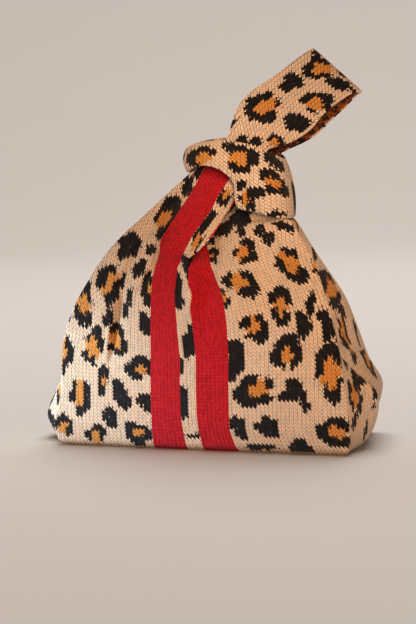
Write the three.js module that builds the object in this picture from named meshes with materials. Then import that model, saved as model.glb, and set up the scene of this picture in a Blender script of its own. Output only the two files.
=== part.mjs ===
// A knitted knot bag standing on its flat bottom: a soft body with folded side gussets, whose long
// handle has been drawn through the short one, so that the bag's mouth is gathered under the knot.
// Millimetres, +Z up, the bag's front looks along -Y. The origin is the middle of its bottom.
import * as THREE from 'three';

// Driving dimensions
const CLOTH = 2.5;              // thickness of the double knit
const BAND_CLOTH = 2.8;         // thickness of the short handle, whose edges are turned in
const NECK_HEIGHT = 160;        // where the front and the back part into straps
const GUSSET_FOLD = 0.38;       // where a gusset's fold lies, as a share of its width from the front
const STRAP_SWELL = 4;          // how far the strap swells between its edges
const SWELL_RUN = 0.3;          // share of the strap's length over which that swell begins
const STRAP_ROLL = 6;           // how far the strap's inner edge rolls back
const ROLL_WIDTH = 0.2;         // share of the strap's width that rolls
const ROLL_START = 0.1;         // share of the strap's length at which the roll begins
const ROLL_RUN = 0.4;           // share of its length over which the roll grows
const SHOULDER_HOLLOW = 0.55;   // share of the shoulder's width that dips into the mouth
const FOLD_START = 0.3;         // share of a fold's length before its first point over which it rises
const FOLD_FADE = 0.7;          // share of its length over which it dies away
const FOLD_EDGE = 0.25;         // share of a panel's width over which folds die away at its edges
const CARRY = 0.5;              // share of a strap's length over which the body's folds die away
const HANDLE_CROWN = 1.5;       // how far the long handle's cloth is crowned across its width
const CLOTH_ROUGHNESS = 0.95;

// Where each gusset ends between the straps: share is how far up the strap that is, and stand is how
// far its fold still stands out there.
const LEFT_ARMPIT = { share: 0.25, stand: 3 };
const RIGHT_ARMPIT = { share: 0.5, stand: -4 };

// Steps of the faceted sheets
const FRONT_STEPS = 18;         // columns in half of the front
const BACK_STEPS = 8;           // columns in half of the back
const GUSSET_STEPS = 10;        // columns in a side gusset
const NECK_STEPS = 12;          // rows from the neck to the strap's end
const ROW_HEIGHTS = [0, 1.5, 5, 12, 22, 34, 46, 58, 70, 84, 98, 112, 126, 138, 150, NECK_HEIGHT];
const BOTTOM_RINGS = 4;         // rings of faces in the flat bottom
const BAND_STEPS = 60;          // columns round the short handle
const BAND_ROWS = 6;            // rows across the short handle
const RING_STEP = 0.02;         // step round the band over which its direction is taken
const LOOP_STEPS = 54;          // rows along the long handle
const LOOP_COLUMNS = 6;         // columns across the long handle
const SHARED_POINT = 1000;      // points of two patches are one where they agree to 1 part of this

// The body's four creases from the bottom to the neck: left, right and front are the x and the y of
// those in front, backLeft, backRight and back those of the ones behind.
const CREASES = [
  { z: 0, left: -130, right: 132, front: -55, backLeft: -124, backRight: 118, back: 54 },
  { z: 5, left: -136, right: 137, front: -59, backLeft: -129, backRight: 124, back: 58 },
  { z: 20, left: -139, right: 138, front: -60, backLeft: -131, backRight: 130, back: 60 },
  { z: 45, left: -133, right: 135, front: -58, backLeft: -130, backRight: 137, back: 59 },
  { z: 70, left: -132, right: 131, front: -55, backLeft: -128, backRight: 125, back: 57 },
  { z: 95, left: -131, right: 126, front: -51, backLeft: -124, backRight: 117, back: 53 },
  { z: 125, left: -122, right: 117, front: -44, backLeft: -118, backRight: 107, back: 47 },
  { z: 160, left: -103, right: 104, front: -35, backLeft: -101, backRight: 88, back: 36 },
];

// How far the front and the back swell past their creases, and how far the fold of each side gusset
// stands out, or with a minus sign is tucked in.
const FULLNESS = [
  { z: 0, belly: 1, gussetLeft: 14, gussetRight: 3 },
  { z: 5, belly: 1, gussetLeft: 24, gussetRight: 7 },
  { z: 20, belly: 2, gussetLeft: 30, gussetRight: 12 },
  { z: 45, belly: 4, gussetLeft: 24, gussetRight: 13 },
  { z: 70, belly: 6, gussetLeft: 2, gussetRight: 0 },
  { z: 95, belly: 6, gussetLeft: -14, gussetRight: -12 },
  { z: 125, belly: 5, gussetLeft: -22, gussetRight: -17 },
  { z: 160, belly: 3, gussetLeft: -24, gussetRight: -15 },
];

// The neckline's column, where the left half of the front meets the right half.
const NECKLINE = [{ z: 0, x: -3 }, { z: 60, x: -5 }, { z: 110, x: -9 }, { z: 160, x: -11 }];

// Soft folds in the front, each from one point to another. height stands out at its first point and
// fades to nothing at its second one; a minus sign makes a trough. width is its half width. The left
// ones go on up the strap.
const LEFT_FOLDS = [
  { name: 'upper crease', x: -45, z: 176, toX: -66, toZ: 132, height: -4, width: 7 },
  { name: 'lower crease', x: -74, z: 138, toX: -86, toZ: 66, height: -4, width: 7 },
  { name: 'roll beside the lower crease', x: -92, z: 135, toX: -98, toZ: 70, height: 3, width: 9 },
];

const MIDDLE_FOLDS = [
  { name: 'pleat between the stripes', x: -9, z: 160, toX: -5, toZ: 95, height: 5, width: 8 },
  { name: 'trough beside the pleat', x: 6, z: 160, toX: 5, toZ: 105, height: -4, width: 9 },
  { name: 'trough on the right', x: 62, z: 178, toX: 84, toZ: 84, height: -3, width: 14 },
];

// The left strap from the neck to the knot: its outer edge in front, its inner, rolled edge, which
// front and back share but for the sign of y, and the outer edge at the back.
const STRAP = [
  { p: 0, outer: [-103, -35, 160], inner: [-11, -43, 160], back: [-101, 36, 160] },
  { p: 0.1, outer: [-93, -32, 173], inner: [-12.5, -43.5, 167], back: [-98, 33, 172] },
  { p: 0.2, outer: [-83, -30, 184], inner: [-2, -43, 176], back: [-92, 30, 183] },
  { p: 0.4, outer: [-62, -26, 202], inner: [10, -38, 190], back: [-75, 26, 204] },
  { p: 0.6, outer: [-41, -23, 220], inner: [18, -33, 204], back: [-53, 23, 222] },
  { p: 0.8, outer: [-20, -20, 238], inner: [27, -26, 218], back: [-25, 18, 239] },
  { p: 1, outer: [0, -17, 254], inner: [36, -21, 232], back: [0, 16, 254] },
];

// The right shoulder from the neck to its end in the knot: its edge under the strap and its crease.
const SHOULDER = [
  { p: 0, inner: [-11, -43, 160], outer: [104, -35, 160], back: [88, 36, 160] },
  { p: 0.1, inner: [-9.5, -36, 166], outer: [99, -33, 169], back: [83, 33, 169] },
  { p: 0.2, inner: [-9, -28, 172], outer: [93, -31, 178], back: [78, 31, 178] },
  { p: 0.4, inner: [-2, -20, 184], outer: [83, -27, 194], back: [70, 27, 193] },
  { p: 0.5, inner: [3, -17, 190], outer: [79, -25, 199], back: [67, 25, 198] },
  { p: 0.6, inner: [8, -14, 196], outer: [66.4, -18.4, 202], back: [61, 19, 202] },
  { p: 1, inner: [26, -8, 215], outer: [63, -18, 218], back: [58, 18, 218] },
];

// The short handle, a band round the straps: stations from its right end over the front to its left
// end and back behind, each with a point of the lower edge, one of the upper edge and the swell.
const BAND = [
  { low: [74, 0, 202], high: [67, 0, 252], swell: 2 },
  { low: [72, -17, 202], high: [64, -12, 255], swell: 3 },
  { low: [62, -27, 204], high: [57, -19, 259], swell: 4 },
  { low: [50, -30, 208], high: [52, -21, 261.5], swell: 4 },
  { low: [39, -31, 210], high: [46, -22, 263], swell: 3 },
  { low: [32, -31, 213], high: [41, -23, 265], swell: 3 },
  { low: [30, -31, 222], high: [37, -23, 266.5], swell: 3 },
  { low: [28.5, -31, 235], high: [31, -23, 268], swell: 3 },
  { low: [17, -32, 246], high: [17, -23, 270], swell: 2 },
  { low: [2, -31, 250], high: [0, -22, 269.5], swell: 2 },
  { low: [-10, -27, 248], high: [-13, -19, 267], swell: 2 },
  { low: [-19, -18, 244], high: [-21, -13, 264], swell: 3 },
  { low: [-22, -4, 243], high: [-25, -2, 264], swell: 3 },
  { low: [-21, 13, 244], high: [-23, 9, 267], swell: 3 },
  { low: [-13, 25, 244], high: [-14, 17, 270], swell: 3 },
  { low: [4, 29, 238], high: [2, 21, 272], swell: 3 },
  { low: [20, 31, 228], high: [18, 22, 272], swell: 3 },
  { low: [38, 31, 216], high: [35, 22, 267], swell: 3 },
  { low: [55, 28, 207], high: [51, 20, 261], swell: 4 },
  { low: [69, 18, 203], high: [62, 13, 255], swell: 4 },
];

// The long handle, from the front strap's end up to the end fold and down again behind: stations
// with a point of the upper left edge and one of the lower right edge.
const LOOP = [
  { up: [0.5, -17, 254.8], low: [36.5, -21, 233] },
  { up: [8, -16, 263], low: [46, -17, 250] },
  { up: [19, -14, 272], low: [55, -13, 262] },
  { up: [23, -12, 286], low: [68, -11, 265.5] },
  { up: [29, -10, 300], low: [81, -9, 271] },
  { up: [40, -9, 311.5], low: [93, -8, 279] },
  { up: [57, -8, 321.5], low: [104, -8, 291] },
  { up: [75, -8, 333], low: [119, -8, 302] },
  { up: [90, -7, 343], low: [131, -6, 309] },
  { up: [96, 0, 347.5], low: [137, 2, 310] },
  { up: [90, 8, 343], low: [131, 10, 307.5] },
  { up: [75, 9, 334], low: [119, 12, 297] },
  { up: [57, 9, 324], low: [105, 12, 285] },
  { up: [40, 9, 313], low: [93, 11, 274] },
  { up: [28, 10, 300], low: [80, 11, 267] },
  { up: [21, 12, 286], low: [67, 12, 262] },
  { up: [16, 14, 272], low: [54, 15, 256] },
  { up: [6, 16, 263], low: [46, 18, 248] },
  { up: [0.5, 16, 254.8], low: [36.5, 21, 233] },
];

const lerp = THREE.MathUtils.lerp;
const ease = (t) => THREE.MathUtils.smoothstep(t, 0, 1);
const hump = (t) => 4 * t * (1 - t);

// From 0 at both ends of 0 to 1 up to 1 at share and past it towards the middle.
const easeEnds = (t, share) => ease(Math.min(t, 1 - t) / share);

// A quantity of a table at a place between its rows, on a smooth curve without overshoot. key is
// the column of the places and pick(row) gives the quantity.
function along(table, key, pick, at) {
  const last = table.length - 1;
  let i = 0;
  while (i < last - 1 && at > table[i + 1][key]) i += 1;
  const slope = (j) => (pick(table[j + 1]) - pick(table[j])) / (table[j + 1][key] - table[j][key]);
  const tangent = (j) => {
    if (j === 0) return slope(0);
    if (j === last) return slope(last - 1);
    const before = slope(j - 1);
    const after = slope(j);
    return before * after <= 0 ? 0 : (2 * before * after) / (before + after);
  };
  const span = table[i + 1][key] - table[i][key];
  const t = THREE.MathUtils.clamp((at - table[i][key]) / span, 0, 1);
  const startPull = t * (1 - t) ** 2 * span * tangent(i);
  const endPull = t * t * (t - 1) * span * tangent(i + 1);
  return lerp(pick(table[i]), pick(table[i + 1]), ease(t)) + startPull + endPull;
}

// The point of a table's named column at a share p of the way along it.
function pointAt(table, name, p) {
  const coordinate = (axis) => along(table, 'p', (row) => row[name][axis], p);
  return new THREE.Vector3(coordinate(0), coordinate(1), coordinate(2));
}

const creases = (name, z) => along(CREASES, 'z', (row) => row[name], z);
const fullness = (name, z) => along(FULLNESS, 'z', (row) => row[name], z);
const necklineX = (z) => along(NECKLINE, 'z', (row) => row.x, z);

// An open sheet of points and four-cornered faces, made of patches that share their edges.
class Sheet {
  constructor() {
    this.points = [];
    this.faces = [];
    this.known = new Map();
  }

  add(point) {
    const name = point.toArray().map((value) => Math.round(value * SHARED_POINT)).join(' ');
    if (!this.known.has(name)) this.known.set(name, this.points.push(point) - 1);
    return this.known.get(name);
  }

  // A patch of columns and rows; at(u, v) gives a point, with both from 0 to 1 over the patch.
  patch(columns, rowPlaces, at) {
    const grid = rowPlaces.map((v) => steps(columns).map((u) => this.add(at(u, v))));
    for (let j = 0; j < rowPlaces.length - 1; j += 1) {
      for (let i = 0; i < columns; i += 1) {
        this.faces.push([grid[j][i], grid[j][i + 1], grid[j + 1][i + 1], grid[j + 1][i]]);
      }
    }
  }

  triangles() {
    const cut = [];
    for (const [a, b, c, d] of this.faces) {
      if (a !== b && b !== c && a !== c) cut.push([a, b, c]);
      if (a !== c && c !== d && a !== d) cut.push([a, c, d]);
    }
    return cut;
  }

  // The direction in which the sheet looks at each of its points.
  normals(cut) {
    const normals = this.points.map(() => new THREE.Vector3());
    for (const triangle of cut) {
      const [a, b, c] = triangle.map((corner) => this.points[corner]);
      const face = new THREE.Vector3().subVectors(b, a).cross(new THREE.Vector3().subVectors(c, a));
      for (const corner of triangle) normals[corner].add(face);
    }
    return normals.map((normal) => normal.normalize());
  }

  // The closed solid of this sheet and its copy on the inner side, joined round every free edge.
  thicken(thickness) {
    const cut = this.triangles();
    const normals = this.normals(cut);
    const inner = this.points.map((point, i) => point.clone().addScaledVector(normals[i], -thickness));
    const count = this.points.length;
    const index = [];
    const freeEdges = new Map();
    for (const [a, b, c] of cut) {
      index.push(a, b, c, a + count, c + count, b + count);
      for (const [from, to] of [[a, b], [b, c], [c, a]]) {
        if (!freeEdges.delete(`${to} ${from}`)) freeEdges.set(`${from} ${to}`, [from, to]);
      }
    }
    for (const [from, to] of freeEdges.values()) {
      index.push(to, from, to + count);
      index.push(from, from + count, to + count);
    }
    return solidGeometry([...this.points, ...inner], index);
  }
}

function solidGeometry(points, index) {
  const geometry = new THREE.BufferGeometry();
  const positions = points.flatMap((point) => point.toArray());
  geometry.setAttribute('position', new THREE.Float32BufferAttribute(positions, 3));
  geometry.setIndex(index);
  geometry.computeVertexNormals();
  return geometry;
}

// count + 1 even steps from 0 to 1.
const steps = (count) => Array.from({ length: count + 1 }, (_, i) => i / count);

// How far the folds of a table stand out at a point of the front.
function foldHeight(folds, x, z) {
  return folds.reduce((sum, fold) => {
    const runX = fold.toX - fold.x;
    const runZ = fold.toZ - fold.z;
    const length = Math.hypot(runX, runZ);
    const t = ((x - fold.x) * runX + (z - fold.z) * runZ) / length ** 2;
    const aside = ((x - fold.x) * runZ - (z - fold.z) * runX) / length;
    const strength = ease(1 + t / FOLD_START) * ease((1 - t) / FOLD_FADE);
    return sum + fold.height * strength * Math.exp(-((aside / fold.width) ** 2));
  }, 0);
}

// A point of the front below the neck.
function frontPoint(x, z) {
  const left = creases('left', z);
  const across = (x - left) / (creases('right', z) - left);
  const folds = foldHeight([...LEFT_FOLDS, ...MIDDLE_FOLDS], x, z) * easeEnds(across, FOLD_EDGE);
  return new THREE.Vector3(x, creases('front', z) - fullness('belly', z) * hump(across) - folds, z);
}

function backPoint(x, z) {
  const left = creases('backLeft', z);
  const across = (x - left) / (creases('backRight', z) - left);
  return new THREE.Vector3(x, creases('back', z) + fullness('belly', z) * hump(across), z);
}

// A point of a side gusset, from its front edge to its back edge, with the fold's stand in x.
function gussetPoint(frontEdge, backEdge, stand, t) {
  const toFold = t < GUSSET_FOLD ? t / GUSSET_FOLD : (1 - t) / (1 - GUSSET_FOLD);
  const point = new THREE.Vector3().lerpVectors(frontEdge, backEdge, t);
  point.x += stand * ease(toFold);
  return point;
}

// The six walls of the body below the neck, each with u from 0 to 1 as seen from outside.
const frontLeft = (u, z) => frontPoint(lerp(creases('left', z), necklineX(z), u), z);
const frontRight = (u, z) => frontPoint(lerp(necklineX(z), creases('right', z), u), z);
const backRight = (u, z) => backPoint(lerp(creases('backRight', z), necklineX(z), u), z);
const backLeft = (u, z) => backPoint(lerp(necklineX(z), creases('backLeft', z), u), z);

function gussetRight(u, z) {
  const frontEdge = new THREE.Vector3(creases('right', z), creases('front', z), z);
  const backEdge = new THREE.Vector3(creases('backRight', z), creases('back', z), z);
  return gussetPoint(frontEdge, backEdge, fullness('gussetRight', z), u);
}

function gussetLeft(u, z) {
  const frontEdge = new THREE.Vector3(creases('left', z), creases('front', z), z);
  const backEdge = new THREE.Vector3(creases('backLeft', z), creases('back', z), z);
  return gussetPoint(frontEdge, backEdge, -fullness('gussetLeft', z), 1 - u);
}

const WALLS = [
  { columns: FRONT_STEPS, at: frontLeft },
  { columns: FRONT_STEPS, at: frontRight },
  { columns: GUSSET_STEPS, at: gussetRight },
  { columns: BACK_STEPS, at: backRight },
  { columns: BACK_STEPS, at: backLeft },
  { columns: GUSSET_STEPS, at: gussetLeft },
];

// How far the left strap's inner edge rolls into the bag.
function strapRoll(t, p) {
  const inRoll = Math.max(0, (t - 1 + ROLL_WIDTH) / ROLL_WIDTH);
  return STRAP_ROLL * inRoll ** 2 * ease((p - ROLL_START) / ROLL_RUN);
}

// The left strap from its outer to its inner edge. side is 1 in front and -1 at the back.
function strapPoint(t, p, side) {
  const outer = pointAt(STRAP, side > 0 ? 'outer' : 'back', p);
  const inner = pointAt(STRAP, 'inner', p);
  inner.y *= side;
  const point = new THREE.Vector3().lerpVectors(outer, inner, t);
  const swell = STRAP_SWELL * ease(p / SWELL_RUN) * (1 - p / 2) * hump(t);
  const folds = side > 0 ? foldHeight(LEFT_FOLDS, point.x, point.z) * easeEnds(t, FOLD_EDGE) : 0;
  point.y -= side * (swell + folds - strapRoll(t, p));
  return point;
}

// The right shoulder from its inner edge, under the strap, to its crease.
function shoulderPoint(t, p, side) {
  const outer = pointAt(SHOULDER, side > 0 ? 'outer' : 'back', p);
  const inner = pointAt(SHOULDER, 'inner', p);
  inner.y *= side;
  const point = new THREE.Vector3().lerpVectors(inner, outer, t);
  point.y = lerp(inner.y, outer.y, ease(t / SHOULDER_HOLLOW));
  return point;
}

// Carries a shape above the neck on from the wall below it: what they differ by fades out.
function carriedOn(shape, wall) {
  return (u, p) => {
    const misfit = new THREE.Vector3().subVectors(wall(u, NECK_HEIGHT), shape(u, 0));
    return shape(u, p).addScaledVector(misfit, 1 - ease(p / CARRY));
  };
}

const strapFront = carriedOn((u, p) => strapPoint(u, p, 1), frontLeft);
const strapBack = carriedOn((u, p) => strapPoint(1 - u, p, -1), backLeft);
const shoulderFront = carriedOn((u, p) => shoulderPoint(u, p, 1), frontRight);
const shoulderBack = carriedOn((u, p) => shoulderPoint(1 - u, p, -1), backRight);

// The gussets above the neck, each up to its armpit.
function upperRight(u, p) {
  const stand = lerp(fullness('gussetRight', NECK_HEIGHT), RIGHT_ARMPIT.stand, p / RIGHT_ARMPIT.share);
  return gussetPoint(shoulderFront(1, p), shoulderBack(0, p), stand, u);
}

function upperLeft(u, p) {
  const stand = lerp(fullness('gussetLeft', NECK_HEIGHT), LEFT_ARMPIT.stand, p / LEFT_ARMPIT.share);
  return gussetPoint(strapFront(0, p), strapBack(1, p), -stand, 1 - u);
}

const UPPER_WALLS = [
  { columns: FRONT_STEPS, at: strapFront, upTo: 1 },
  { columns: BACK_STEPS, at: strapBack, upTo: 1 },
  { columns: GUSSET_STEPS, at: upperLeft, upTo: LEFT_ARMPIT.share },
  { columns: FRONT_STEPS, at: shoulderFront, upTo: 1 },
  { columns: BACK_STEPS, at: shoulderBack, upTo: 1 },
  { columns: GUSSET_STEPS, at: upperRight, upTo: RIGHT_ARMPIT.share },
];

// The body: its walls, what goes on above the neck, and the flat bottom, whose rings of faces lead
// from the lowest row of the walls in to the middle.
function bodySheet() {
  const sheet = new Sheet();
  const centre = new THREE.Vector3();
  for (const { columns, at } of WALLS) {
    sheet.patch(columns, ROW_HEIGHTS, at);
    sheet.patch(columns, steps(BOTTOM_RINGS), (u, share) => at(u, 0).lerp(centre, 1 - share));
  }
  for (const { columns, at, upTo } of UPPER_WALLS) {
    sheet.patch(columns, steps(NECK_STEPS).filter((p) => p <= upTo), at);
  }
  return sheet;
}

// A smooth curve through the points in a table's named column.
function curveThrough(table, name, closed) {
  return new THREE.CatmullRomCurve3(table.map((row) => new THREE.Vector3(...row[name])), closed);
}

// The short handle. Its stations run clockwise from above, so u is turned round to keep the outer
// side out.
function bandSheet() {
  const low = curveThrough(BAND, 'low', true);
  const high = curveThrough(BAND, 'high', true);
  const swells = new THREE.CatmullRomCurve3(BAND.map((row) => new THREE.Vector3(row.swell, 0, 0)), true);
  const at = (place, v) => new THREE.Vector3().lerpVectors(low.getPoint(place), high.getPoint(place), v);
  const sheet = new Sheet();
  sheet.patch(BAND_STEPS, steps(BAND_ROWS), (u, v) => {
    const place = (1 - u) % 1;
    const ahead = at((place + RING_STEP) % 1, 0.5);
    const run = ahead.sub(at((place + 1 - RING_STEP) % 1, 0.5));
    const outward = new THREE.Vector3(-run.y, run.x, 0).normalize();
    return at(place, v).addScaledVector(outward, swells.getPoint(place).x * hump(v));
  });
  return sheet;
}

function loopSheet() {
  const up = curveThrough(LOOP, 'up', false);
  const low = curveThrough(LOOP, 'low', false);
  const sheet = new Sheet();
  sheet.patch(LOOP_COLUMNS, steps(LOOP_STEPS), (u, v) => {
    const point = new THREE.Vector3().lerpVectors(up.getPoint(v), low.getPoint(v), u);
    point.y -= HANDLE_CROWN * hump(u) * Math.cos(Math.PI * v);
    return point;
  });
  return sheet;
}

function clothMesh(name, sheet, thickness, color) {
  const material = new THREE.MeshStandardMaterial({ color, roughness: CLOTH_ROUGHNESS, metalness: 0 });
  const mesh = new THREE.Mesh(sheet.thicken(thickness), material);
  mesh.name = name;
  return mesh;
}

const bag = new THREE.Group();
bag.add(clothMesh('body', bodySheet(), CLOTH, 0xd9bd96));
bag.add(clothMesh('short_handle', bandSheet(), BAND_CLOTH, 0xc9a377));
bag.add(clothMesh('long_handle', loopSheet(), CLOTH, 0xcfac80));

export default bag;
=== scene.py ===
import math
from functools import partial

import bpy
import numpy as np
from mathutils import Matrix, Vector
from numpy.linalg import norm


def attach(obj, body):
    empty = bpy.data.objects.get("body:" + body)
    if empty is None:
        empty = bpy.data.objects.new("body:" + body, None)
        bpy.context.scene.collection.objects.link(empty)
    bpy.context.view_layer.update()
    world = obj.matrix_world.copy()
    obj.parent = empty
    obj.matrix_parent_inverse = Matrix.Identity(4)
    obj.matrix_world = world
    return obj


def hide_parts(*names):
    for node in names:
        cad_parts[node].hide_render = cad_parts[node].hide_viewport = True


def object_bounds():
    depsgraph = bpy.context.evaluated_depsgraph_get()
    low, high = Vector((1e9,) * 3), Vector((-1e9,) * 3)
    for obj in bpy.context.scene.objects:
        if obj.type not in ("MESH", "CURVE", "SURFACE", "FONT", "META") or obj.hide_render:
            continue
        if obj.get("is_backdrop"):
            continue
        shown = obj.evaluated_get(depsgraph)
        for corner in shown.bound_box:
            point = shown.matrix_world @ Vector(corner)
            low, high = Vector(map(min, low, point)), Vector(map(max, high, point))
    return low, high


bl_info = {
    "name": "Knitted knot bag",
    "version": (1, 0, 0),
    "blender": (4, 5, 0),
    "location": "3D View > Sidebar > Knot bag",
    "description": "Knits the spotted and striped cloth of a standing knot bag round its packed frame",
    "category": "Object",
}

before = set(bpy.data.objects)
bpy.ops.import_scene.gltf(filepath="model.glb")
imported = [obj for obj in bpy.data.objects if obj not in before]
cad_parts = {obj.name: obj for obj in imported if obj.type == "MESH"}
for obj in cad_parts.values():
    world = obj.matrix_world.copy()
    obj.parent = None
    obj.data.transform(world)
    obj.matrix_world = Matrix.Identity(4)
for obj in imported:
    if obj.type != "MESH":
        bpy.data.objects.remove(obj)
FRAME_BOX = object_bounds()

MM = 0.001

# Sizes of the bag in millimetres, as in the frame, and shares of a panel's width or of a strap's
# length, which are under 1. The origin is the middle of its flat bottom and its front looks along -Y.
CLOTH = 2.5
BAND_CLOTH = 2.8
NECK_HEIGHT = 160
LEFT_ARMPIT = {"share": 0.25, "stand": 3}
RIGHT_ARMPIT = {"share": 0.5, "stand": -4}
GUSSET_FOLD = 0.38
STRAP_SWELL = 4
SWELL_RUN = 0.3
STRAP_ROLL = 6
ROLL_WIDTH = 0.2
ROLL_START = 0.1
ROLL_RUN = 0.4
SHOULDER_HOLLOW = 0.55
FOLD_START = 0.3
FOLD_FADE = 0.7
FOLD_EDGE = 0.25
CARRY = 0.5
HANDLE_CROWN = 1.5

# Steps of the sheets, whose faces are about 2 mm across
FRONT_STEPS = 72
BACK_STEPS = 40
GUSSET_STEPS = 48
WALL_ROWS = 80
NECK_STEPS = 56
BOTTOM_RINGS = 4
BAND_STEPS = 130
BAND_ROWS = 22
LOOP_STEPS = 150
LOOP_COLUMNS = 24
RING_STEP = 0.02
RIM_STEPS = 3
# Shorter than any line that is brought to length 1, so that none is divided by 0
TINY = 1e-12


def table(names, *rows):
    """Rows of numbers or points under the names of their columns."""
    return {name: np.array([row[i] for row in rows], float) for i, name in enumerate(names.split())}


# The body's four creases from the bottom to the neck
CREASES = table(
    "z left right front back_left back_right back",
    (0, -130, 132, -55, -124, 118, 54),
    (5, -136, 137, -59, -129, 124, 58),
    (20, -139, 138, -60, -131, 130, 60),
    (45, -133, 135, -58, -130, 137, 59),
    (70, -132, 131, -55, -128, 125, 57),
    (95, -131, 126, -51, -124, 117, 53),
    (125, -122, 117, -44, -118, 107, 47),
    (160, -103, 104, -35, -101, 88, 36),
)

# How far the front and back swell, and how far each side gusset's fold stands out
FULLNESS = table(
    "z belly gusset_left gusset_right",
    (0, 1, 14, 3),
    (5, 1, 24, 7),
    (20, 2, 30, 12),
    (45, 4, 24, 13),
    (70, 6, 2, 0),
    (95, 6, -14, -12),
    (125, 5, -22, -17),
    (160, 3, -24, -15),
)

NECKLINE = table("z x", (0, -3), (60, -5), (110, -9), (160, -11))

# Soft folds in the front from one point to another. height stands out at the first point and fades
# to nothing at the second one; a minus sign makes a trough. width is the half width.
FOLD_COLUMNS = "x z to_x to_z height width"
LEFT_FOLDS = table(
    FOLD_COLUMNS,
    (-45, 176, -66, 132, -4, 7),
    (-74, 138, -86, 66, -4, 7),
    (-92, 135, -98, 70, 3, 9),
    (-40, 186, -70, 124, 3.4, 2.4),
    (-36, 184, -66, 122, -2.6, 2.4),
    (-70, 172, -97, 120, 3.2, 2.4),
    (-66, 170, -93, 118, -2.4, 2.4),
    (-83, 124, -88, 60, 3.4, 2.4),
    (-79, 124, -84, 60, -2.6, 2.4),
    (-26, 224, -84, 164, -6, 8),
)
MIDDLE_FOLDS = table(
    FOLD_COLUMNS,
    (-9, 160, -5, 95, 5, 8),
    (6, 160, 5, 105, -4, 9),
    (62, 178, 84, 84, -3, 14),
    (68, 150, 52, 50, -3, 13),
    (28, 150, 40, 95, 2, 12),
    (98, 160, 112, 70, 2, 7),
)
# The same in the right gusset, from front to back
GUSSET_FOLDS = table(
    FOLD_COLUMNS,
    (-30, 84, 50, 30, -3, 6),
    (-32, 92, 56, 62, 3, 6),
    (-28, 100, 56, 88, -2.5, 6),
    (-30, 74, 5, 12, 2.5, 6),
    (-34, 60, -20, 8, -2, 5),
    (-20, 130, 40, 100, -2, 8),
)

# The left strap from the neck to the knot, and the right shoulder
STRAP = table(
    "p outer inner back",
    (0, (-103, -35, 160), (-11, -43, 160), (-101, 36, 160)),
    (0.1, (-93, -32, 173), (-12.5, -43.5, 167), (-98, 33, 172)),
    (0.2, (-83, -30, 184), (-2, -43, 176), (-92, 30, 183)),
    (0.4, (-62, -26, 202), (10, -38, 190), (-75, 26, 204)),
    (0.6, (-41, -23, 220), (18, -33, 204), (-53, 23, 222)),
    (0.8, (-20, -20, 238), (27, -26, 218), (-25, 18, 239)),
    (1, (0, -17, 254), (36, -21, 232), (0, 16, 254)),
)
SHOULDER = table(
    "p inner outer back",
    (0, (-11, -43, 160), (104, -35, 160), (88, 36, 160)),
    (0.1, (-9.5, -36, 166), (99, -33, 169), (83, 33, 169)),
    (0.2, (-9, -28, 172), (93, -31, 178), (78, 31, 178)),
    (0.4, (-2, -20, 184), (83, -27, 194), (70, 27, 193)),
    (0.5, (3, -17, 190), (79, -25, 199), (67, 25, 198)),
    (0.6, (8, -14, 196), (66.4, -18.4, 202), (61, 19, 202)),
    (1, (26, -8, 215), (63, -18, 218), (58, 18, 218)),
)

# The short handle round the straps, from its right end over the front to the left and back behind
BAND = table(
    "low high swell",
    ((74, 0, 202), (67, 0, 252), 2),
    ((72, -17, 202), (64, -12, 255), 3),
    ((62, -27, 204), (57, -19, 259), 4),
    ((50, -30, 208), (52, -21, 261.5), 4),
    ((39, -31, 210), (46, -22, 263), 3),
    ((32, -31, 213), (41, -23, 265), 3),
    ((30, -31, 222), (37, -23, 266.5), 3),
    ((28.5, -31, 235), (31, -23, 268), 3),
    ((17, -32, 246), (17, -23, 270), 2),
    ((2, -31, 250), (0, -22, 269.5), 2),
    ((-10, -27, 248), (-13, -19, 267), 2),
    ((-19, -18, 244), (-21, -13, 264), 3),
    ((-22, -4, 243), (-25, -2, 264), 3),
    ((-21, 13, 244), (-23, 9, 267), 3),
    ((-13, 25, 244), (-14, 17, 270), 3),
    ((4, 29, 238), (2, 21, 272), 3),
    ((20, 31, 228), (18, 22, 272), 3),
    ((38, 31, 216), (35, 22, 267), 3),
    ((55, 28, 207), (51, 20, 261), 4),
    ((69, 18, 203), (62, 13, 255), 4),
)

# The long handle from the front strap's end up to its end fold and down again behind
LOOP = table(
    "up low",
    ((0.5, -17, 254.8), (36.5, -21, 233)),
    ((8, -16, 263), (46, -17, 250)),
    ((19, -14, 272), (55, -13, 262)),
    ((23, -12, 286), (68, -11, 265.5)),
    ((29, -10, 300), (81, -9, 271)),
    ((40, -9, 311.5), (93, -8, 279)),
    ((57, -8, 321.5), (104, -8, 291)),
    ((75, -8, 333), (119, -8, 302)),
    ((90, -7, 343), (131, -6, 309)),
    ((96, 0, 347.5), (137, 2, 310)),
    ((90, 8, 343), (131, 10, 307.5)),
    ((75, 9, 334), (119, 12, 297)),
    ((57, 9, 324), (105, 12, 285)),
    ((40, 9, 313), (93, 11, 274)),
    ((28, 10, 300), (80, 11, 267)),
    ((21, 12, 286), (67, 12, 262)),
    ((16, 14, 272), (54, 15, 256)),
    ((6, 16, 263), (46, 18, 248)),
    ((0.5, 16, 254.8), (36.5, 21, 233)),
)


def ease(t):
    t = np.clip(t, 0, 1)
    return t * t * (3 - 2 * t)


def hump(t):
    return 4 * t * (1 - t)


def ease_ends(t, share):
    """From 0 at both ends of 0 to 1 up to 1 at share and past it towards the middle."""
    return ease(np.minimum(t, 1 - t) / share)


def lerp(start, end, t):
    return start + (end - start) * t


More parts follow.
